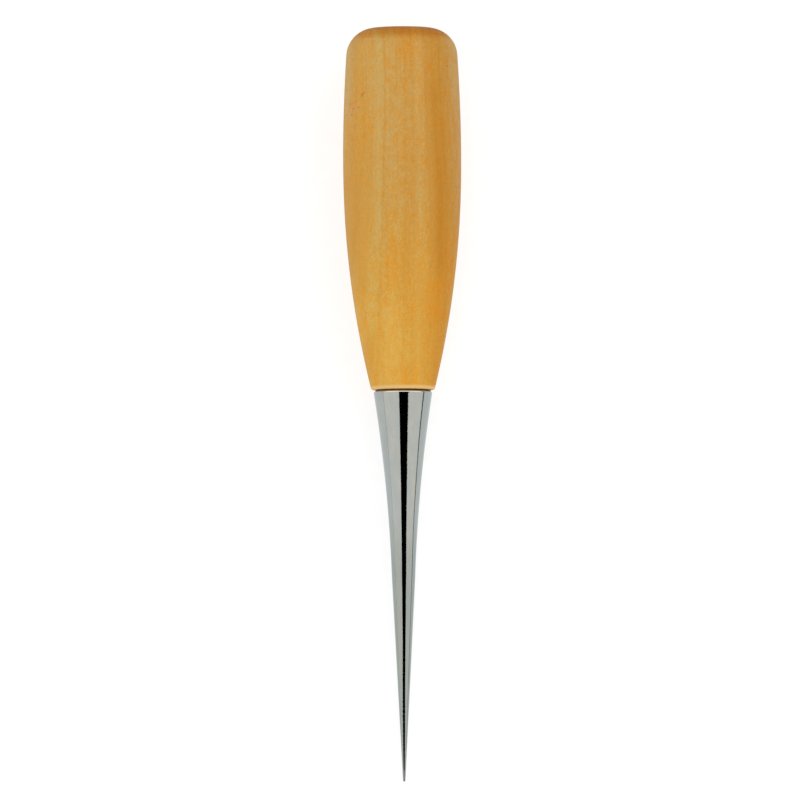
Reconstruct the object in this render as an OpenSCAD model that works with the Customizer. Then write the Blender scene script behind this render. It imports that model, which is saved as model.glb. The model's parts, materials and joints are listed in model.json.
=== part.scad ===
// Bookbinding awl: a turned wooden handle and a one-piece steel spike, glued together.
// The awl lies on its side along Y. The point looks towards -Y and the butt towards +Y,
// and both the point and the belly of the handle touch z = 0.
// Each piece is turned round +Z first, with the point at z = 0, and then laid down.

/* [Handle] */
// Length of the handle, from its front end to the butt
handle_l = 74.5; // [60:0.5:95]
// Greatest diameter, at the belly
belly_d = 24.3; // [22:0.05:30]
// Distance from the belly's greatest diameter back to the butt
belly_to_butt = 28; // [20:0.5:34]
// Diameter of the front end, where the steel starts
front_d = 13; // [12.1:0.1:16]
// Diameter that the back curve would reach at the butt if its corner were sharp
butt_d = 22.05; // [18:0.05:24]
// Radius of the corner round the butt
butt_corner_r = 5.9; // [2:0.05:7.5]
// Radius of the small round on the front rim
front_rim_r = 0.5; // [0.2:0.1:1]

/* [Blade] */
// Length of the bare steel, from the handle to the point
blade_l = 80.5; // [70:0.5:105]
// Diameter of the steel's shoulder, just in front of its rim
shoulder_d = 12; // [9:0.1:12.5]
// Radius of the small round on the shoulder's rim
shoulder_rim_r = 0.5; // [0.1:0.05:0.6]
// Length of the straight needle cone, from the point back to the flare
needle_l = 42; // [34:0.5:52]
// Diameter where the needle cone ends and the flare starts
needle_d = 4.8; // [3:0.05:6]
// Radius of the point itself
point_r = 0.24; // [0.1:0.02:0.4]
// Angle between the axis and the side of the flare where the flare starts
flare_start_a = 2; // [0:0.1:2.8]

/* [Tang and glue] */
// Length of the tang, from the shoulder into the handle
tang_l = 38; // [20:1:45]
// Diameter of the tang
tang_d = 5; // [3:0.1:6]
// Number of grooves round the tang that the glue keys into
groove_count = 4; // [1:1:5]
// Width of each groove
groove_w = 1.6; // [0.8:0.1:2]
// Depth of each groove
groove_depth = 0.4; // [0.2:0.05:0.6]
// Glue round the tang, which is the bore's clearance on radius
glue_gap = 0.3; // [0.2:0.05:0.5]
// Glue line between the shoulder and the wood
glue_line = 0.3; // [0.1:0.05:0.4]

/* [Hidden] */
$fn = 96;

// Straight steps that a round stretch of an outline is drawn with
long_arc_steps = 24;
corner_steps = 12;
rim_steps = 6;

// How far outlines that are joined or cut reach past each other
overlap = 1;

// Least radius of the butt's flat face, and least wood between the bore and the butt
least_flat_r = 1;
least_butt_wall = 10;

overall_l = blade_l + handle_l;
belly_z = overall_l - belly_to_butt;
belly_r = belly_d / 2;
front_r = front_d / 2;
shoulder_r = shoulder_d / 2;
shoulder_z = blade_l - glue_line;

// The two long curves are arcs that share a level tangent at the belly.
front_arc_r = arc_radius(belly_z - blade_l, belly_r - front_r);
back_arc_r = arc_radius(belly_to_butt, belly_r - butt_d / 2);

// The butt's corner touches the flat end face and the inside of the back curve.
corner_z = overall_l - butt_corner_r;
corner_r = belly_r - back_arc_r + sqrt(pow(back_arc_r - butt_corner_r, 2) - pow(corner_z - belly_z, 2));
back_arc_a = atan2(corner_z - belly_z, corner_r - belly_r + back_arc_r);

// The needle cone touches the ball of the point.
needle_r = needle_d / 2;
needle_run = needle_l - point_r;
needle_a = atan2(needle_r, needle_run) - asin(point_r / norm([needle_run, needle_r]));

// The flare is an arc that leaves the cone at a slight corner and ends where the rim's round
// starts.
flare_end_z = shoulder_z - shoulder_rim_r;
flare_run = flare_end_z - needle_l;
flare_rise = shoulder_r - needle_r;
flare_off = flare_rise * cos(flare_start_a) - flare_run * sin(flare_start_a);
flare_arc_r = (pow(flare_run, 2) + pow(flare_rise, 2)) / (2 * flare_off);
flare_end_a = flare_start_a + 2 * asin(norm([flare_run, flare_rise]) / (2 * flare_arc_r));

// The tang's end is chamfered, and the bore ends in a drill cone.
tang_r = tang_d / 2;
tang_chamfer = 0.8;
bore_r = tang_r + glue_gap;
bore_clear = 1;
bore_z = shoulder_z + tang_l + bore_clear;
drill_half_angle = 59;
drill_cone_l = bore_r / tan(drill_half_angle);
groove_pitch = tang_l / (groove_count + 1);

// The glue line stops a little inside the rims of the shoulder and the wood.
glue_line_r = shoulder_r - shoulder_rim_r;

// Lying down, one level line touches both the point's ball and the front curve.
ball_to_arc = [belly_z - point_r, front_arc_r - belly_r];
tilt = atan2(ball_to_arc[0], ball_to_arc[1]) - acos((front_arc_r - point_r) / norm(ball_to_arc));
lying_front_y = point_r * cos(tilt) - point_r;
lying_back_y = corner_z * cos(tilt) + corner_r * sin(tilt) + butt_corner_r;
lying_shift_y = -(lying_front_y + lying_back_y) / 2;
lying_shift_z = point_r * (1 - sin(tilt));

assert(corner_r > least_flat_r, "the butt's corner leaves no flat face");
assert(corner_z > belly_z, "the butt's corner reaches past the belly");
assert(shoulder_r < front_r, "the shoulder is wider than the wood");
assert(flare_off > 0, "the flare curves the wrong way");
assert(bore_z + drill_cone_l < overall_l - least_butt_wall, "the bore comes too near the butt");

// Radius of the arc that leaves its tangent by rise over run
function arc_radius(run, rise) = (run * run + rise * rise) / (2 * rise);

// Points [radius, height] of an arc round a centre, after its first point, so that an arc can
// follow whatever ends there. Angles are measured from outward towards +Z.
function arc(centre, r, from, to, steps) =
    [for (i = [1:steps]) let (a = from + (to - from) * i / steps) centre + r * [cos(a), sin(a)]];

// Centre of a round of radius r that lies inside a big arc and stands on the level z
function round_into(centre, big_r, z, r) =
    [centre[0] + sqrt(pow(big_r - r, 2) - pow(z + r - centre[1], 2)), z + r];

// Outline of the handle, from the middle of its front end to the middle of its butt
function handle_outline() =
    let (
        front_centre = [belly_r - front_arc_r, belly_z],
        back_centre = [belly_r - back_arc_r, belly_z],
        rim_centre = round_into(front_centre, front_arc_r, blade_l, front_rim_r),
        rim_a = atan2(rim_centre[1] - belly_z, rim_centre[0] - front_centre[0])
    )
    concat(
        [[0, blade_l], [rim_centre[0], blade_l]],
        arc(rim_centre, front_rim_r, -90, rim_a, rim_steps),
        arc(front_centre, front_arc_r, rim_a, 0, long_arc_steps),
        arc(back_centre, back_arc_r, 0, back_arc_a, long_arc_steps),
        arc([corner_r, corner_z], butt_corner_r, back_arc_a, 90, corner_steps),
        [[0, overall_l]]
    );

// Outline of the bare steel, from the point to the middle of the shoulder's back face
function spike_outline() =
    let (
        flare_centre = [needle_r, needle_l] + flare_arc_r * [cos(flare_start_a), -sin(flare_start_a)],
        rim_centre = [shoulder_r, flare_end_z] + shoulder_rim_r * [-cos(flare_end_a), sin(flare_end_a)],
        rim_end_a = asin((shoulder_z - rim_centre[1]) / shoulder_rim_r)
    )
    concat(
        [[0, 0]],
        arc([0, point_r], point_r, -90, -needle_a, rim_steps),
        [[needle_r, needle_l]],
        arc(flare_centre, flare_arc_r, 180 - flare_start_a, 180 - flare_end_a, long_arc_steps),
        arc(rim_centre, shoulder_rim_r, -flare_end_a, rim_end_a, rim_steps),
        [[0, shoulder_z]]
    );

// Lays a piece that was turned round +Z down on its side
module lay_down() {
    translate([0, lying_shift_y, lying_shift_z])
        rotate([tilt - 90, 0, 0])
            children();
}

// Bore for the tang, with a drill cone at its end
module bore_outline() {
    polygon([
        [0, blade_l - overlap],
        [bore_r, blade_l - overlap],
        [bore_r, bore_z],
        [0, bore_z + drill_cone_l]
    ]);
}

// Half section of the tang, which starts inside the shoulder
module tang_outline() {
    tang_end = shoulder_z + tang_l;
    difference() {
        polygon([
            [0, shoulder_z - overlap],
            [tang_r, shoulder_z - overlap],
            [tang_r, tang_end - tang_chamfer],
            [tang_r - tang_chamfer, tang_end],
            [0, tang_end]
        ]);
        for (i = [1:groove_count])
            translate([tang_r - groove_depth, shoulder_z + i * groove_pitch - groove_w / 2])
                square([groove_depth + overlap, groove_w]);
    }
}

// Turned hardwood handle with a blind bore
module handle() {
    color("#cf9b4f")
        lay_down()
            rotate_extrude()
                difference() {
                    polygon(handle_outline());
                    bore_outline();
                }
}

// Steel spike with its tang
module blade() {
    color("#b4b8b4")
        lay_down()
            rotate_extrude()
                union() {
                    polygon(spike_outline());
                    tang_outline();
                }
}

// Cured glue round the tang and under the shoulder
module tang_adhesive() {
    color("#5a3414")
        lay_down()
            rotate_extrude()
                difference() {
                    union() {
                        translate([0, shoulder_z])
                            square([glue_line_r, glue_line]);
                        bore_outline();
                    }
                    tang_outline();
                    square([shoulder_r, shoulder_z]);
                }
}

handle();
blade();
tang_adhesive();
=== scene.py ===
"""Bookbinding awl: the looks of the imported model. The awl lies on its side on a pale floor, seen from
above and a little from the point's end."""
import json
import math

import bpy
import numpy as np
from mathutils import Matrix, Vector


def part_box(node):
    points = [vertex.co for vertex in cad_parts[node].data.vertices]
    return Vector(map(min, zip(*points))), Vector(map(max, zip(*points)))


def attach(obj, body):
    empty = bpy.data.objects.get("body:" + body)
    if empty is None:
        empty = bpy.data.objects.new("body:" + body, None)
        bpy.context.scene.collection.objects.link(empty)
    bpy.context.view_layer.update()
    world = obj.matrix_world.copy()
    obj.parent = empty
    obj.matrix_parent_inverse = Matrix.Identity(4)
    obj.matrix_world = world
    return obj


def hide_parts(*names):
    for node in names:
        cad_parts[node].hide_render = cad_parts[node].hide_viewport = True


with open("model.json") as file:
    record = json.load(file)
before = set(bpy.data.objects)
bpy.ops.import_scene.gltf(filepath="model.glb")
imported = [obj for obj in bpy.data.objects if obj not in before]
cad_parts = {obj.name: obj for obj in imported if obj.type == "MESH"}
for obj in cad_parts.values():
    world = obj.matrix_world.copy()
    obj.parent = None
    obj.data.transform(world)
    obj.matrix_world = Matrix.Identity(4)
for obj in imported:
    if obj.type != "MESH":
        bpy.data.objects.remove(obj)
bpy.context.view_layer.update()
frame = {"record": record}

# ---------------------------------------------------------------------------------------------
# Sizes, in millimetres unless a name says otherwise. Places along the awl are measured from the
# point, and the frame gives where the point, the belly and the butt are.
# ---------------------------------------------------------------------------------------------
MM = 0.001
SEED = 7

mounts = {mount["name"]: mount for mount in frame["record"]["mounts"]}
point_at = Vector(mounts["point"]["pos_m"])
awl_axis = Vector(mounts["butt_face"]["axis"]).normalized()


def along_awl(mount):
    """How far a mount is from the point, along the awl."""
    return (Vector(mounts[mount]["pos_m"]) - point_at).dot(awl_axis) / MM


def half_width(node):
    """Half of how far a piece reaches across, in mm."""
    low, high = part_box(node)
    return (high[0] - low[0]) / 2 / MM


OVERALL = along_awl("butt_face")
BELLY_AT = along_awl("grip")
BELLY_R = half_width("handle")
HANDLE_LENGTH = 74.5
FRONT_AT = OVERALL - HANDLE_LENGTH
FRONT_R = 6.5
BUTT_R = 11.025
BUTT_CORNER = 5.9
FRONT_RIM = 0.5

SHOULDER_R = 6.0
SHOULDER_RIM = 0.5
NEEDLE_LENGTH = 42.0
NEEDLE_R = 2.4
POINT_R = 0.24
FLARE_START = math.radians(2.0)

GLUE_LINE = 0.3
GLUE_GAP = 0.3
SHOULDER_AT = FRONT_AT - GLUE_LINE
TANG_LENGTH = 38.0
TANG_R = 2.5
TANG_CHAMFER = 0.8
GROOVES = 4
GROOVE_WIDTH = 1.6
GROOVE_DEPTH = 0.4
BORE_CLEARANCE = 1.0
DRILL_HALF_ANGLE = math.radians(59)
BORE_R = TANG_R + GLUE_GAP
BORE_END = SHOULDER_AT + TANG_LENGTH + BORE_CLEARANCE
DRILL_CONE = BORE_R / math.tan(DRILL_HALF_ANGLE)
TANG_END = SHOULDER_AT + TANG_LENGTH

# Fineness of the meshes: faces round each piece, and the longest straight step
HANDLE_SEGMENTS = 256
BLADE_SEGMENTS = 240
GLUE_SEGMENTS = 160
STRAIGHT_STEP = 1.0

# Heights of the small swells in the turned surfaces
BLADE_SWELL = 0.016
HANDLE_SWELL = 0.035
GLUE_SWELL = 0.05

# The awl's own frame: +Z from the point to the butt, +X across, and +Y down towards the floor.
across = Vector((1, 0, 0))
LAID = Matrix.Translation(point_at) @ Matrix(
    (across, awl_axis.cross(across), awl_axis)
).transposed().to_4x4()


# ---------------------------------------------------------------------------------------------
# Outlines: [radius, place along the awl]
# ---------------------------------------------------------------------------------------------
def arc(centre, radius, start, end, steps):
    """Points of an arc after its first. Angles, in radians, go from outward towards the butt."""
    angles = [start + (end - start) * i / steps for i in range(1, steps + 1)]
    return [(centre[0] + radius * math.cos(a), centre[1] + radius * math.sin(a)) for a in angles]


def line(start, end, step):
    """Points of a straight stretch after its first, no more than a step apart."""
    count = max(1, math.ceil(math.dist(start, end) / step))
    return [
        (start[0] + (end[0] - start[0]) * i / count, start[1] + (end[1] - start[1]) * i / count)
        for i in range(1, count + 1)
    ]


def through(corners):
    """Straight stretches from corner to corner, the first corner included."""
    found = [corners[0]]
    for start, end in zip(corners, corners[1:]):
        found += line(start, end, STRAIGHT_STEP)
    return found


def arc_radius(run, rise):
    """Radius of the arc that leaves its tangent by rise over run."""
    return (run * run + rise * rise) / (2 * rise)


def tang_corners():
    """The tang's side, from the shoulder's back face to the middle of the tang's end."""
    corners = [(TANG_R, SHOULDER_AT)]
    pitch = TANG_LENGTH / (GROOVES + 1)
    for i in range(1, GROOVES + 1):
        middle, half = SHOULDER_AT + i * pitch, GROOVE_WIDTH / 2
        floor_r = TANG_R - GROOVE_DEPTH
        corners += [(TANG_R, middle - half), (floor_r, middle - half)]
        corners += [(floor_r, middle + half), (TANG_R, middle + half)]
    corners += [(TANG_R, TANG_END - TANG_CHAMFER), (TANG_R - TANG_CHAMFER, TANG_END)]
    return corners + [(0.0, TANG_END)]


def handle_outline():
    """From the end of the bore, out of its mouth, along the outside and to the middle of the butt."""
    front_arc = arc_radius(BELLY_AT - FRONT_AT, BELLY_R - FRONT_R)
    back_arc = arc_radius(OVERALL - BELLY_AT, BELLY_R - BUTT_R)
    front_centre = (BELLY_R - front_arc, BELLY_AT)
    back_centre = (BELLY_R - back_arc, BELLY_AT)
    rim_z = FRONT_AT + FRONT_RIM
    rim_r = front_centre[0] + math.sqrt((front_arc - FRONT_RIM) ** 2 - (rim_z - BELLY_AT) ** 2)
    rim_end = math.atan2(rim_z - BELLY_AT, rim_r - front_centre[0])
    corner_z = OVERALL - BUTT_CORNER
    corner_r = back_centre[0] + math.sqrt((back_arc - BUTT_CORNER) ** 2 - (corner_z - BELLY_AT) ** 2)
    back_end = math.atan2(corner_z - BELLY_AT, corner_r - back_centre[0])
    bore = [(0.0, BORE_END + DRILL_CONE), (BORE_R, BORE_END), (BORE_R, FRONT_AT), (rim_r, FRONT_AT)]
    return (
        through(bore)
        + arc((rim_r, rim_z), FRONT_RIM, -math.pi / 2, rim_end, 12)
        + arc(front_centre, front_arc, rim_end, 0.0, 110)
        + arc(back_centre, back_arc, 0.0, back_end, 50)
        + arc((corner_r, corner_z), BUTT_CORNER, back_end, math.pi / 2, 28)
        + line((corner_r, OVERALL), (0.0, OVERALL), 0.6)
    )


def blade_outline():
    """From the point along the needle and the flare to the shoulder, then along the tang."""
    run = NEEDLE_LENGTH - POINT_R
    needle_a = math.atan2(NEEDLE_R, run) - math.asin(POINT_R / math.hypot(run, NEEDLE_R))
    flare_end = SHOULDER_AT - SHOULDER_RIM
    flare_run, flare_rise = flare_end - NEEDLE_LENGTH, SHOULDER_R - NEEDLE_R
    flare_off = flare_rise * math.cos(FLARE_START) - flare_run * math.sin(FLARE_START)
    flare_arc = (flare_run**2 + flare_rise**2) / (2 * flare_off)
    flare_a = FLARE_START + 2 * math.asin(math.hypot(flare_run, flare_rise) / (2 * flare_arc))
    flare_centre = (
        NEEDLE_R + flare_arc * math.cos(FLARE_START),
        NEEDLE_LENGTH - flare_arc * math.sin(FLARE_START),
    )
    rim_centre = (
        SHOULDER_R - SHOULDER_RIM * math.cos(flare_a),
        flare_end + SHOULDER_RIM * math.sin(flare_a),
    )
    rim_end = math.asin((SHOULDER_AT - rim_centre[1]) / SHOULDER_RIM)
    ball_end = (POINT_R * math.cos(needle_a), POINT_R - POINT_R * math.sin(needle_a))
    rim = arc(rim_centre, SHOULDER_RIM, -flare_a, rim_end, 12)
    return (
        [(0.0, 0.0)]
        + arc((0.0, POINT_R), POINT_R, -math.pi / 2, -needle_a, 8)
        + line(ball_end, (NEEDLE_R, NEEDLE_LENGTH), 0.3)
        + arc(flare_centre, flare_arc, math.pi - FLARE_START, math.pi - flare_a, 120)
        + rim
        + line(rim[-1], (TANG_R, SHOULDER_AT), 0.5)
        + through(tang_corners())[1:]
    )


def glue_outline():
    """From the middle of the tang's end, down round the tang, out to the bead and up the bore."""
    bead_r = SHOULDER_R - SHOULDER_RIM
    bead = arc((bead_r, SHOULDER_AT + GLUE_LINE / 2), GLUE_LINE / 2, -math.pi / 2, math.pi / 2, 8)
    inside = through(tang_corners()[::-1] + [(bead_r, SHOULDER_AT)])
    outside = through([bead[-1], (BORE_R, FRONT_AT), (BORE_R, BORE_END), (0.0, BORE_END + DRILL_CONE)])
    return inside + bead + outside[1:]


# ---------------------------------------------------------------------------------------------
# Turned meshes
# ---------------------------------------------------------------------------------------------
def ripple(radii, places, angles, size, longest, waves, rng):
    """Small swells of a hand-polished or hand-turned surface, as a change of radius in mm. Each wave
    goes a whole number of times round and has its own length along the awl, no shorter than a
    quarter of the longest."""
    found = np.zeros((len(places), len(angles)))
    for _ in range(waves):
        turns = rng.integers(1, 7)
        length = longest * rng.uniform(0.25, 1.0)
        phase, drift = rng.uniform(0, 2 * math.pi, 2)
        lengthwise = np.cos(2 * math.pi * places / length + drift)
        found += lengthwise[:, None] * np.cos(turns * angles + phase)[None, :] / turns
    grow = np.clip(radii / radii.max(), 0, 1)
    return found * grow[:, None] * size / math.sqrt(waves)


def turned(name, outline, segments, swell=None):
    """A closed turned solid with its two ends on the axis. swell(radii, places, angles) changes the
    radius a little, in mm."""
    outline = np.array(outline)
    radii, places = outline[1:-1, 0], outline[1:-1, 1]
    angles = np.arange(segments) * 2 * math.pi / segments
    ring_r = np.repeat(radii[:, None], segments, axis=1)
    if swell:
        ring_r = ring_r + swell(radii, places, angles)
    rings = np.stack(
        [
            ring_r * np.cos(angles),
            ring_r * np.sin(angles),
            np.repeat(places[:, None], segments, axis=1),
        ],
        axis=-1,
    ).reshape(-1, 3)
    ends = np.array([[0, 0, outline[0, 1]], [0, 0, outline[-1, 1]]])
    points = np.concatenate([rings, ends]) * MM
    laid = np.array(LAID)
    points = points @ laid[:3, :3].T + laid[:3, 3]
    first_end, last_end = len(rings), len(rings) + 1
    faces = []
    for ring in range(len(radii) - 1):
        low, high = ring * segments, (ring + 1) * segments
        for i in range(segments):
            j = (i + 1) % segments
            faces.append((low + i, low + j, high + j, high + i))
    top = (len(radii) - 1) * segments
    for i in range(segments):
        j = (i + 1) % segments
        faces.append((first_end, j, i))
        faces.append((last_end, top + i, top + j))
    mesh = bpy.data.meshes.new(name)
    mesh.from_pydata(points.tolist(), [], faces)
    mesh.shade_smooth()
    mesh.set_sharp_from_angle(angle=math.radians(35))
    piece = bpy.data.objects.new(name, mesh)
    bpy.context.scene.collection.objects.link(piece)
    return piece


# ---------------------------------------------------------------------------------------------
# Materials
# ---------------------------------------------------------------------------------------------
def srgb(red, green, blue):
    """A colour given as it looks on a screen, from 0 to 255, as Blender's linear values."""
    parts = [part / 255 for part in (red, green, blue)]
    return [p / 12.92 if p <= 0.04045 else ((p + 0.055) / 1.055) ** 2.4 for p in parts] + [1.0]


class Shader:
    """A material with a Principled shader, and one short call for each kind of node."""

    def __init__(self, name):
        self.material = bpy.data.materials.new(name)
        self.material.use_nodes = True
        self.tree = self.material.node_tree
        self.surface = self.tree.nodes["Principled BSDF"]
        upright = self.tree.nodes.new("ShaderNodeMapping")
        upright.vector_type = "TEXTURE"
        upright.inputs["Location"].default_value = LAID.translation
        upright.inputs["Rotation"].default_value = LAID.to_euler()
        coordinates = self.tree.nodes.new("ShaderNodeTexCoord")
        self.put(upright.inputs["Vector"], coordinates.outputs["Object"])
        self.place = upright.outputs[0]

    def put(self, socket, value):
        if isinstance(value, bpy.types.NodeSocket):
            self.tree.links.new(value, socket)
        else:
            socket.default_value = value

    def set(self, **values):
        """Sets the shader's own sockets. Base_Color stands for Base Color."""
        for name, value in values.items():
            self.put(self.surface.inputs[name.replace("_", " ")], value)

    def math(self, operation, first, second=0.0, third=0.0):
        node = self.tree.nodes.new("ShaderNodeMath")
        node.operation = operation
        for socket, value in zip(node.inputs, (first, second, third)):
            self.put(socket, value)
        return node.outputs[0]

    def stretched(self, per_mm, shift=(0.0, 0.0, 0.0)):
        """Places in the awl's own frame, with so many units for each millimetre along its axes."""
        node = self.tree.nodes.new("ShaderNodeMapping")
        self.put(node.inputs["Vector"], self.place)
        node.inputs["Scale"].default_value = [value / MM for value in per_mm]
        node.inputs["Location"].default_value = shift
        return node.outputs[0]

    def axes(self):
        """Across, down and along in the awl's own frame, in millimetres."""
        node = self.tree.nodes.new("ShaderNodeSeparateXYZ")
        self.put(node.inputs[0], self.stretched((1, 1, 1)))
        return node.outputs

    def noise(self, vector, detail=2.0, roughness=0.5):
        node = self.tree.nodes.new("ShaderNodeTexNoise")
        self.put(node.inputs["Vector"], vector)
        self.put(node.inputs["Scale"], 1.0)
        self.put(node.inputs["Detail"], detail)
        self.put(node.inputs["Roughness"], roughness)
        return node.outputs[0]

    def cells(self, vector):
        """Distance to the nearest of a scatter of spots."""
        node = self.tree.nodes.new("ShaderNodeTexVoronoi")
        self.put(node.inputs["Vector"], vector)
        self.put(node.inputs["Scale"], 1.0)
        return node.outputs["Distance"]

    def rise(self, value, low, high, bottom=0.0, top=1.0):
        """Goes smoothly from bottom to top as the value goes from low to high."""
        node = self.tree.nodes.new("ShaderNodeMapRange")
        node.interpolation_type = "SMOOTHSTEP"
        for socket, part in zip(node.inputs, (value, low, high, bottom, top)):
            self.put(socket, part)
        return node.outputs[0]

    def mix(self, amount, first, second, blend="MIX"):
        node = self.tree.nodes.new("ShaderNodeMix")
        node.data_type = "RGBA"
        node.blend_type = blend
        self.put(node.inputs[0], amount)
        self.put(node.inputs[6], first)
        self.put(node.inputs[7], second)
        return node.outputs[2]

    def ramp(self, value, stops):
        """Colours at places from 0 to 1."""
        node = self.tree.nodes.new("ShaderNodeValToRGB")
        self.put(node.inputs[0], value)
        band = node.color_ramp.elements
        while len(band) < len(stops):
            band.new(0.5)
        for element, (place, colour) in zip(band, sorted(stops)):
            element.position = place
            element.color = colour
        return node.outputs[0]

    def bump(self, height, depth, strength=1.0, over=None):
        """A bump of depth millimetres, on top of another if one is given."""
        node = self.tree.nodes.new("ShaderNodeBump")
        node.inputs["Strength"].default_value = strength
        node.inputs["Distance"].default_value = depth * MM
        self.put(node.inputs["Height"], height)
        if over:
            self.put(node.inputs["Normal"], over)
        return node.outputs[0]


# The wood's tones, before the mottle and the lacquer are laid on. The pale edge tone holds painted
# light and the dim edge tone painted shade.
PALE_EDGE_PAINTED_LIGHT = srgb(206, 171, 113)
PALE_GRAIN = srgb(206, 163, 91)
HONEY = srgb(210, 160, 83)
GOLD = srgb(205, 157, 83)
AMBER_GRAIN = srgb(203, 150, 72)
BROWN_GRAIN = srgb(196, 138, 54)
# Painted shade: the right edge's tone is darker than the wood itself.
DIM_EDGE_PAINTED_SHADE = srgb(198, 149, 80)
# Bands of those tones across the top of the handle, from left to right: place in mm and tone. At
# the left the pale edge and the honey bands are painted lighter, and at the right the dim edge is
# painted darker: painted light and painted shade as the light falls more from the left, over the
# wood's figure.
FIGURE = [
    (-12.0, PALE_EDGE_PAINTED_LIGHT),
    (-9.0, HONEY),
    (-7.0, HONEY),
    (-5.0, PALE_GRAIN),
    (-4.5, PALE_GRAIN),
    (-4.1, AMBER_GRAIN),
    (-3.5, GOLD),
    (-2.0, GOLD),
    (0.0, AMBER_GRAIN),
    (1.5, AMBER_GRAIN),
    (2.5, GOLD),
    (3.5, AMBER_GRAIN),
    (6.0, BROWN_GRAIN),
    (7.5, BROWN_GRAIN),
    (11.5, DIM_EDGE_PAINTED_SHADE),
]
# Streaks that run lengthwise: middle across, half width, start and end along the awl, all in mm,
# then strength and colour.
BROWN_STREAK = srgb(189, 123, 33)
AMBER_STREAK = srgb(208, 145, 52)
PALE_STREAK = srgb(231, 178, 88)
STREAKS = [
    (-4.1, 0.20, 131, 152, 0.45, AMBER_STREAK),
    (-5.1, 0.50, 112, 148, 0.30, PALE_GRAIN),
    (4.1, 0.30, 118, 152, 0.30, BROWN_GRAIN),
    (5.8, 1.10, 104, 143, 0.55, BROWN_STREAK),
    (6.2, 0.40, 104, 130, 0.55, BROWN_STREAK),
    (-7.2, 1.30, 98, 133, 0.55, AMBER_STREAK),
    (-8.0, 0.50, 108, 124, 0.45, AMBER_STREAK),
    (0.2, 0.70, 102, 114, 0.45, AMBER_STREAK),
    (2.9, 1.20, 82, 103, 0.40, AMBER_STREAK),
    (5.3, 0.60, 80, 100, 0.60, AMBER_STREAK),
    (-5.2, 0.55, 80, 92, 0.55, AMBER_STREAK),
    (-2.2, 1.50, 80, 97, 0.45, PALE_STREAK),
]
# Short brown flecks on the upper face and the pink blush round a group of them: across, along, half
# width and half length in mm, the lean from lengthwise in degrees, then strength and colour.
BROWN = srgb(138, 82, 34)
FLECKS = [
    (-10.40, 138.30, 0.80, 1.10, 20, 0.30, srgb(219, 148, 98)),
    (-8.50, 140.80, 0.13, 0.50, 38, 0.52, BROWN),
    (-9.30, 138.15, 0.13, 0.17, 0, 0.52, BROWN),
    (-10.35, 138.00, 0.11, 0.20, 15, 0.45, BROWN),
    (-10.60, 136.70, 0.14, 0.16, 0, 0.45, BROWN),
    (-10.90, 139.00, 0.11, 0.30, -8, 0.40, BROWN),
    (8.95, 146.75, 0.16, 0.15, 0, 0.52, BROWN),
    (7.30, 139.60, 0.08, 0.12, 20, 0.40, BROWN),
]
# The growth rings' pith lies this far to the left of the handle's axis, level with its top.
PITH = 55.0
# From one growth ring to the next, in mm
RING_WIDTH = 1.5
# What the ambers and the pales of the mottle do to the colour they lie on
AMBER = (1.06, 0.90, 0.52, 1)
PALE = (0.97, 1.10, 1.40, 1)
# What the clear lacquer takes from the wood's colour
LACQUER = (0.865, 0.885, 0.87, 1)


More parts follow.
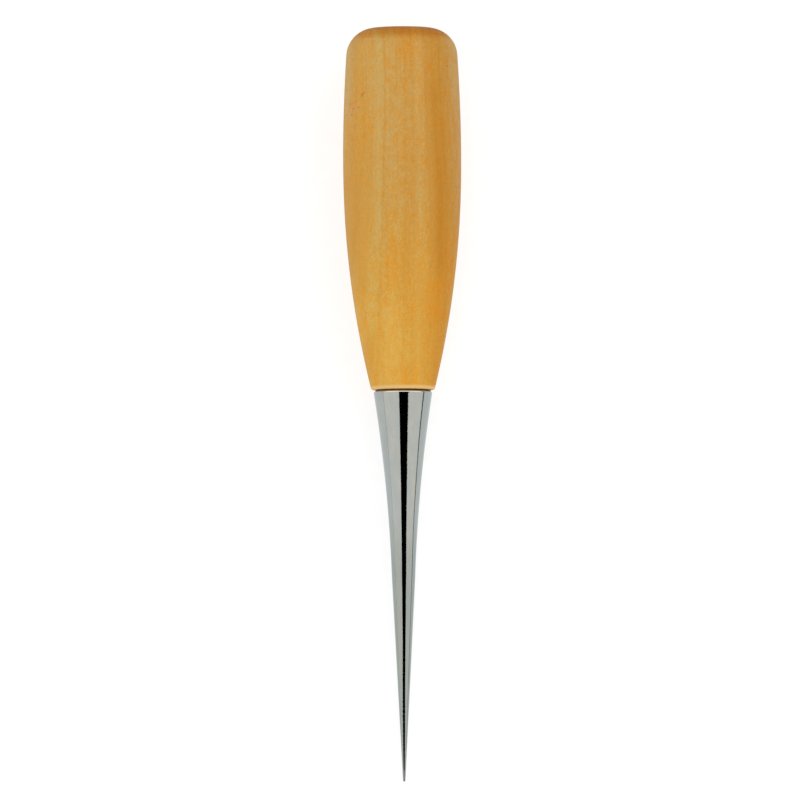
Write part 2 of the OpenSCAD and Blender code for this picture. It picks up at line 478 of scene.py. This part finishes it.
def wood():
    """Clear lacquered light hardwood, with its grain along the handle."""
    make = Shader("lacquered_wood")
    x, y, z = make.axes()

    # The growth rings are wide arcs round the pith and wander a little along the handle.
    aside = make.math("ADD", x, PITH)
    below = make.math("ADD", y, BELLY_R)
    ring = make.math("MULTIPLY_ADD", below, below, make.math("MULTIPLY", aside, aside))
    ring = make.math("SUBTRACT", make.math("SQRT", ring), PITH)
    wander = make.noise(make.stretched((0.02, 0.05, 0.022)), detail=2.0)
    fray = make.noise(make.stretched((0.9, 0.9, 0.30), (2.0, 5.0, 1.0)), detail=4.0, roughness=0.75)
    x_bent = make.math("MULTIPLY", ring, make.rise(z, 146.0, 112.0, 1.0, 0.82))
    x_bent = make.math("ADD", x_bent, make.math("MULTIPLY_ADD", wander, 1.4, -0.7))
    x_bent = make.math("ADD", x_bent, make.math("MULTIPLY_ADD", fray, 0.9, -0.45))
    low, high = FIGURE[0][0], FIGURE[-1][0]
    share = make.math("MULTIPLY_ADD", x_bent, 1 / (high - low), -low / (high - low))
    colour = make.ramp(share, [((at - low) / (high - low), c) for at, c in FIGURE])

    # Towards the front end the wood is warmer, then painted lighter too: painted light on the front,
    # which turns towards the point's side, where more light falls.
    colour = make.mix(make.rise(z, 134.0, 116.0), colour, (1.0, 0.985, 0.91, 1), "MULTIPLY")
    colour = make.mix(make.rise(z, 126.0, 84.0), colour, (1.18, 1.14, 0.82, 1), "MULTIPLY")

    # Soft broad bands, thin growth lines, fine fibres, and a mottle of clouds and specks.
    broad = make.noise(make.stretched((0.55, 0.22, 0.012), (3.1, 0, 0)), detail=2.0)
    thin = make.noise(make.stretched((2.6, 1.1, 0.03), (0, 7.7, 0)), detail=3.0, roughness=0.6)
    fibre = make.noise(make.stretched((8.0, 6.0, 0.6), (0, 0, 1.3)), detail=3.0, roughness=0.7)
    cloud = make.noise(make.stretched((0.75, 0.75, 0.52), (5.5, 2.2, 0)), detail=4.0, roughness=0.58)
    speck = make.noise(make.stretched((2.4, 2.4, 1.7), (1.2, 4.4, 8.0)), detail=4.0, roughness=0.8)
    blotch = make.noise(make.stretched((0.15, 0.15, 0.045), (4.0, 1.5, 2.5)), detail=3.0, roughness=0.6)
    grit = make.noise(make.stretched((4.5, 4.5, 3.2), (7.0, 2.0, 3.0)), detail=2.0, roughness=0.6)
    for value, start, end, strength, tint in (
        (broad, 0.35, 0.70, 0.45, (1.03, 1.09, 1.16, 1)),
        (blotch, 0.50, 0.64, 0.65, AMBER),
        (blotch, 0.48, 0.34, 0.55, PALE),
        (thin, 0.48, 0.78, 0.50, (0.90, 0.83, 0.66, 1)),
        (fibre, 0.45, 0.80, 0.35, (0.88, 0.85, 0.76, 1)),
        (cloud, 0.50, 0.70, 0.75, AMBER),
        (cloud, 0.50, 0.30, 0.80, PALE),
        (speck, 0.50, 0.70, 0.90, (0.88, 0.84, 0.78, 1)),
        (speck, 0.50, 0.30, 0.90, (1.12, 1.16, 1.20, 1)),
        (grit, 0.50, 0.75, 0.30, (0.82, 0.81, 0.79, 1)),
        (grit, 0.50, 0.25, 0.30, (1.16, 1.17, 1.17, 1)),
    ):
        colour = make.mix(make.rise(value, start, end, 0.0, strength), colour, tint, "MULTIPLY")

    # Growth rings: fine lines on the end grain, faint lines along the sides.
    turns = make.math("MULTIPLY_ADD", x_bent, 2 * math.pi / RING_WIDTH, make.math("MULTIPLY", cloud, 5.0))
    late = make.rise(make.math("SINE", turns), 0.35, 1.0)
    on_end = make.rise(z, OVERALL - 2.6, OVERALL - 1.0, 0.12, 0.42)
    colour = make.mix(make.math("MULTIPLY", late, on_end), colour, (0.80, 0.70, 0.52, 1), "MULTIPLY")

    # Streaks, which the clouds break up.
    broken = make.rise(cloud, 0.30, 0.62, 1.0, 0.45)
    for middle, half, start, end, strength, tint in STREAKS:
        off = make.math("ABSOLUTE", make.math("SUBTRACT", x_bent, middle))
        mask = make.rise(off, half * 0.2, half * 1.9, strength, 0.0)
        mask = make.math("MULTIPLY", mask, make.rise(z, start - 4, start + 4))
        mask = make.math("MULTIPLY", mask, make.rise(z, end + 3, end - 3))
        colour = make.mix(make.math("MULTIPLY", mask, broken), colour, tint)

    # Ray flecks: short faint dashes, sparse all over.
    dash = make.cells(make.stretched((1.3, 1.3, 0.45), (0.4, 0.9, 0.2)))
    dash = make.rise(dash, 0.03, 0.11, 0.40, 0.0)
    rare = make.noise(make.stretched((0.25, 0.25, 0.05), (9.0, 1.0, 4.0)), detail=1.0)
    dash = make.math("MULTIPLY", dash, make.rise(rare, 0.50, 0.66))
    colour = make.mix(dash, colour, srgb(168, 108, 42))
    upper = make.rise(y, -2.0, -5.0)
    ragged = make.math("MULTIPLY_ADD", speck, 2.4, -1.2)
    for middle, along, half_wide, half_long, lean, strength, tint in FLECKS:
        turn = math.radians(lean)
        right = make.math("SUBTRACT", x, middle)
        ahead = make.math("SUBTRACT", z, along)
        wide = make.math("MULTIPLY", right, math.cos(turn) / half_wide)
        wide = make.math("MULTIPLY_ADD", ahead, -math.sin(turn) / half_wide, wide)
        long = make.math("MULTIPLY", right, math.sin(turn) / half_long)
        long = make.math("MULTIPLY_ADD", ahead, math.cos(turn) / half_long, long)
        away = make.math("MULTIPLY_ADD", wide, wide, make.math("MULTIPLY", long, long))
        mask = make.rise(make.math("ADD", away, ragged), 0.0, 2.4, strength, 0.0)
        colour = make.mix(make.math("MULTIPLY", mask, upper), colour, tint)

    # Past a soft edge the butt's rounded corner and end are painted darker, and darker still nearer the
    # end: painted shade of the corner that turns away from the light. Pores show on the flat end. The
    # front rim is painted pale: a painted highlight where its rounding catches the light.
    edge = make.math("MULTIPLY_ADD", speck, 0.2, make.math("ADD", z, -0.10))
    # Painted shade: the butt's corner and end are darkened in two steps.
    butt_painted_shade = make.rise(edge, OVERALL - 3.15, OVERALL - 1.25)
    colour = make.mix(butt_painted_shade, colour, (0.87, 0.62, 0.18, 1), "MULTIPLY")
    colour = make.mix(make.rise(z, OVERALL - 1.3, OVERALL - 0.2), colour, (0.80, 0.81, 0.72, 1), "MULTIPLY")
    pores = make.rise(make.cells(make.stretched((3.2, 3.2, 0.3))), 0.06, 0.22, 0.35, 0.0)
    pores = make.math("MULTIPLY", pores, make.rise(z, OVERALL - 0.4, OVERALL - 0.05))
    colour = make.mix(pores, colour, srgb(120, 74, 30))
    # Painted highlight: a pale band along the front rim's rounding.
    rim = make.rise(z, FRONT_AT + 0.95, FRONT_AT + 0.40)
    colour = make.mix(make.math("MULTIPLY", rim, 0.95), colour, srgb(229, 190, 124))

    colour = make.mix(1.0, colour, LACQUER, "MULTIPLY")

    grain_height = make.math("ADD", make.math("MULTIPLY", fibre, 0.5), make.math("MULTIPLY", thin, 0.5))
    normal = make.bump(grain_height, 0.015, 0.5)
    normal = make.bump(dash, -0.02, 0.6, over=normal)
    gloss = make.math("ADD", make.rise(cloud, 0.3, 0.8, 0.46, 0.56), make.math("MULTIPLY", dash, 0.2))
    make.set(Base_Color=colour, Roughness=gloss, Normal=normal)
    make.set(Coat_Weight=0.03, Coat_Roughness=0.22, Coat_IOR=1.45, Specular_IOR_Level=0.06)
    return make.material


# Specks in the plating along the top of the steel: across, along and half width, all in mm, then
# strength.
SPECKS = [
    (0.10, 71.15, 0.10, 0.30),
    (0.25, 75.45, 0.08, 0.12),
    (0.50, 60.00, 0.09, 0.25),
    (0.75, 66.0, 0.06, 0.15),
]

# The ground needle is a shade darker than the flare.
NEEDLE_TONE = (0.845, 0.867, 0.85, 1)


def chrome():
    """Polished chrome plating with lengthwise polishing marks, slight waves and a few pits. The last
    two millimetres or so are ground to the point after plating and are duller."""
    make = Shader("chromed_steel")
    x, y, z = make.axes()
    waves = make.noise(make.stretched((0.5, 0.5, 0.16)), detail=2.0)
    chatter = make.noise(make.stretched((0.7, 0.7, 1.6), (1.0, 6.0, 0)), detail=1.0, roughness=0.5)
    bands = make.noise(make.stretched((0.9, 0.9, 0.02), (6.0, 3.0, 0)), detail=2.0)
    marks = make.noise(make.stretched((7.0, 7.0, 0.10), (0, 3.0, 0)), detail=3.0, roughness=0.6)
    pits = make.cells(make.stretched((1.3, 1.3, 0.8), (0.3, 0.1, 0.7)))
    rare = make.noise(make.stretched((0.6, 0.6, 0.3), (2.0, 8.0, 5.0)), detail=1.0)
    pits = make.math("MULTIPLY", make.rise(pits, 0.02, 0.06, 0.3, 0.0), make.rise(rare, 0.62, 0.70))
    upper = make.rise(y, 0.0, -0.5)
    for middle, along, half, strength in SPECKS:
        right = make.math("SUBTRACT", x, middle)
        ahead = make.math("SUBTRACT", z, along)
        away = make.math("MULTIPLY_ADD", right, right, make.math("MULTIPLY", ahead, ahead))
        spot = make.rise(away, 0.0, half * half * 2, strength, 0.0)
        pits = make.math("MAXIMUM", pits, make.math("MULTIPLY", spot, upper))
    haze = make.noise(make.stretched((0.7, 0.7, 0.25), (4.0, 0.0, 1.0)), detail=4.0, roughness=0.65)
    colour = make.mix(make.rise(haze, 0.35, 0.7), srgb(189, 193, 186), srgb(200, 201, 191))
    colour = make.mix(make.rise(bands, 0.35, 0.65, 0.0, 0.6), colour, srgb(188, 195, 194))
    colour = make.mix(make.rise(marks, 0.45, 0.8, 0.0, 0.5), colour, srgb(183, 187, 184))
    colour = make.mix(make.math("MULTIPLY", pits, 0.5), colour, srgb(160, 160, 156))
    colour = make.mix(make.rise(z, 56.0, 43.0), colour, NEEDLE_TONE, "MULTIPLY")
    ground = make.rise(z, 2.7, 2.1)
    normal = make.bump(waves, 0.02, 0.35)
    normal = make.bump(chatter, 0.016, 0.6, over=normal)
    normal = make.bump(marks, 0.002, 0.4, over=normal)
    normal = make.bump(pits, -0.004, 0.5, over=normal)
    gloss = make.math("ADD", make.rise(haze, 0.35, 0.75, 0.04, 0.08), make.math("MULTIPLY", pits, 0.2))
    gloss = make.math("MULTIPLY_ADD", ground, 0.35, gloss)
    make.set(Base_Color=colour, Metallic=1.0, Roughness=gloss, Normal=normal)
    return make.material


def glue():
    """Cured epoxy, dark amber with fine bubbles."""
    make = Shader("cured_glue")
    cloud = make.noise(make.stretched((0.8, 0.8, 0.8)), detail=4.0, roughness=0.6)
    bubbles = make.cells(make.stretched((4.0, 4.0, 4.0)))
    bubbles = make.rise(bubbles, 0.08, 0.22, 1.0, 0.0)
    colour = make.mix(make.rise(cloud, 0.35, 0.7), srgb(92, 30, 4), srgb(128, 62, 8))
    colour = make.mix(make.math("MULTIPLY", bubbles, 0.3), colour, srgb(120, 72, 30))
    normal = make.bump(bubbles, -0.03, 0.5)
    make.set(Base_Color=colour, Normal=normal, Roughness=make.rise(cloud, 0.3, 0.8, 0.35, 0.55))
    make.set(Coat_Weight=0.0, Specular_IOR_Level=0.15)
    return make.material


def floor_paper():
    """Plain white studio table, lit a little from inside, with a trace of tooth."""
    make = Shader("floor_paper")
    tooth = make.noise(make.stretched((0.4, 0.4, 0.4)), detail=4.0, roughness=0.6)
    colour = make.mix(make.rise(tooth, 0.3, 0.7), (0.29, 0.29, 0.29, 1), (0.31, 0.31, 0.31, 1))
    make.set(Base_Color=colour, Roughness=0.9, Specular_IOR_Level=0.0)
    make.set(Emission_Color=(1, 1, 1, 1), Emission_Strength=0.75)
    return make.material


def card(name, colour, glow=0.0):
    """Material of a card that only shows in reflections."""
    make = Shader(name)
    make.set(Base_Color=(0, 0, 0, 1), Roughness=1.0, Specular_IOR_Level=0.0)
    make.set(Emission_Color=(*colour, 1), Emission_Strength=glow)
    return make.material


# ---------------------------------------------------------------------------------------------
# The awl
# ---------------------------------------------------------------------------------------------
def awl():
    rng = np.random.default_rng(SEED)

    def blade_swell(radii, places, angles):
        found = ripple(radii, places, angles, BLADE_SWELL, 26.0, 9, rng)
        found[places > SHOULDER_AT - 0.2] = 0
        return found

    def handle_swell(radii, places, angles):
        found = ripple(radii, places, angles, HANDLE_SWELL, 60.0, 6, rng)
        found[radii <= BORE_R + 0.01] = 0
        return found

    def bead_swell(radii, places, angles):
        found = ripple(radii, places, angles, GLUE_SWELL, 400.0, 6, rng)
        found[radii <= BORE_R + 0.01] = 0
        return found

    blade = turned("awl_blade", blade_outline(), BLADE_SEGMENTS, blade_swell)
    handle = turned("awl_handle", handle_outline(), HANDLE_SEGMENTS, handle_swell)
    bead = turned("glue_sleeve", glue_outline(), GLUE_SEGMENTS, bead_swell)
    for piece, node, slot, material in (
        (blade, "blade", "chromed_steel", chrome()),
        (handle, "handle", "lacquered_wood", wood()),
        (bead, "tang_adhesive", "cured_glue", glue()),
    ):
        piece.data.materials.append(material)
        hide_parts(node)
        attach(piece, "root")


# ---------------------------------------------------------------------------------------------
# Studio
# ---------------------------------------------------------------------------------------------
# The camera's lens and sensor, and where it looks from and at: lengths in mm, angles in radians.
LENS = 800
SENSOR = 36
VIEW_HEIGHT = 164.33
AIM_ALONG = 78.43
AIM_ACROSS = -0.61
LEAN_FRONT = math.radians(3.0)
LEAN_LEFT = math.radians(3.0)
ROLL = math.radians(-0.19)


def sheet(name, corners, material, only_in_reflections=True):
    """A flat card or floor from its corners, in metres."""
    mesh = bpy.data.meshes.new(name)
    mesh.from_pydata(corners, [], [range(len(corners))])
    flat = bpy.data.objects.new(name, mesh)
    bpy.context.scene.collection.objects.link(flat)
    flat.data.materials.append(material)
    if only_in_reflections:
        flat.visible_camera = False
        flat.visible_diffuse = False
        flat.visible_shadow = False
        flat.visible_transmission = False
        flat.visible_volume_scatter = False
    return flat


def soft_light(name, place, size, watts):
    """A square area light that looks at the awl and leaves no shape of its own in reflections."""
    data = bpy.data.lights.new(name, "AREA")
    data.shape = "SQUARE"
    data.size = size
    data.energy = watts
    lamp = bpy.data.objects.new(name, data)
    bpy.context.scene.collection.objects.link(lamp)
    lamp.location = place
    lamp.rotation_euler = (Vector(place) * -1).to_track_quat("-Z", "Y").to_euler()
    lamp.visible_camera = False
    lamp.visible_glossy = False


def studio():
    far = 20.0
    ground = [(-far, -far, 0), (far, -far, 0), (far, far, 0), (-far, far, 0)]
    floor = sheet("floor", ground, floor_paper(), only_in_reflections=False)
    floor.visible_glossy = False

    # What polished steel shows of the floor: a shade darker and bluer than the lights above.
    below = [(x, y, -MM) for x, y, _ in ground]
    sheet("floor_in_reflections", below, card("blue_grey_card", (0.74, 0.77, 0.80), 1.0))

    # Dark gap over the awl between two banks of light, which the steel shows as a black stripe.
    high = 0.6
    left, right, wide_right = -0.207, 0.195, 0.275
    front, bend, widest, back = -0.75, -0.25, -0.09, 0.12
    gap = [(left, front), (right, front), (right, bend), (wide_right, widest)]
    gap += [(wide_right, back), (left, back)]
    gap = [(x, y, high) for x, y in gap]
    black = card("black_card", (0, 0, 0))
    sheet("dark_gap", gap, black)

    # A lower dark card that only the front of the needle shows, so that the stripe keeps its width.
    low = 0.15
    front, shoulder, bend, back = -0.20, -0.101, -0.087, -0.077
    gap = [(-0.17, front, low), (0.12, front, low), (0.12, shoulder, low), (0.065, bend, low)]
    gap += [(0.05, back, low), (-0.06, back, low), (-0.085, bend, low), (-0.17, shoulder, low)]
    sheet("dark_gap_over_point", gap, black)

    # Bright card over the butt, which the rim of the steel's shoulder shows as a pale band.
    low, wide, near, far_back = 0.25, 1.5, 0.14, 0.62
    bank = [(-wide, near, high), (wide, near, high), (wide, far_back, low), (-wide, far_back, low)]
    sheet("bright_bank", bank, card("bright_card", (1.0, 0.94, 0.93), 1.5))

    # Low dark strips at both sides, seen in the steel as thin lines where the floor ends.
    grey = card("grey_card", (0.15, 0.16, 0.13), 1.0)
    for name, side, tall in (("strip_right", 0.3, 0.036), ("strip_left", -0.3, 0.005)):
        strip = [(side, -0.5, 0), (side, 0.5, 0), (side, 0.5, tall), (side, -0.5, tall)]
        sheet(name, strip, grey)

    world = bpy.data.worlds.new("studio")
    bpy.context.scene.world = world
    world.use_nodes = True
    world.node_tree.nodes["Background"].inputs["Color"].default_value = (0.985, 0.97, 0.965, 1)
    world.node_tree.nodes["Background"].inputs["Strength"].default_value = 0.86

    soft_light("key", (-0.5, -0.9, 1.1), 0.8, 5.0)
    soft_light("fill", (0.6, 0.4, 0.9), 0.8, 3.0)


def camera():
    """Long lens from above, a little from the point's end and from the left."""
    data = bpy.data.cameras.new("camera")
    data.lens = LENS
    data.sensor_width = SENSOR
    data.clip_start, data.clip_end = 0.1, 50
    eye = bpy.data.objects.new("camera", data)
    bpy.context.scene.collection.objects.link(eye)
    upward = -LAID.to_3x3().col[1]
    back = (upward - awl_axis * math.tan(LEAN_FRONT) - across * math.tan(LEAN_LEFT)).normalized()
    aim = point_at + (awl_axis * AIM_ALONG + across * AIM_ACROSS) * MM
    eye.location = aim + back * VIEW_HEIGHT * MM * LENS / SENSOR
    side = awl_axis.cross(back).normalized()
    up = back.cross(side).normalized()
    right = side * math.cos(ROLL) + up * math.sin(ROLL)
    up = back.cross(right).normalized()
    eye.rotation_mode = "QUATERNION"
    eye.rotation_quaternion = Matrix((right, up, back)).transposed().to_quaternion()
    bpy.context.scene.camera = eye


awl()
studio()
camera()
bpy.context.scene.view_settings.view_transform = "Standard"
bpy.context.scene.view_settings.look = "None"
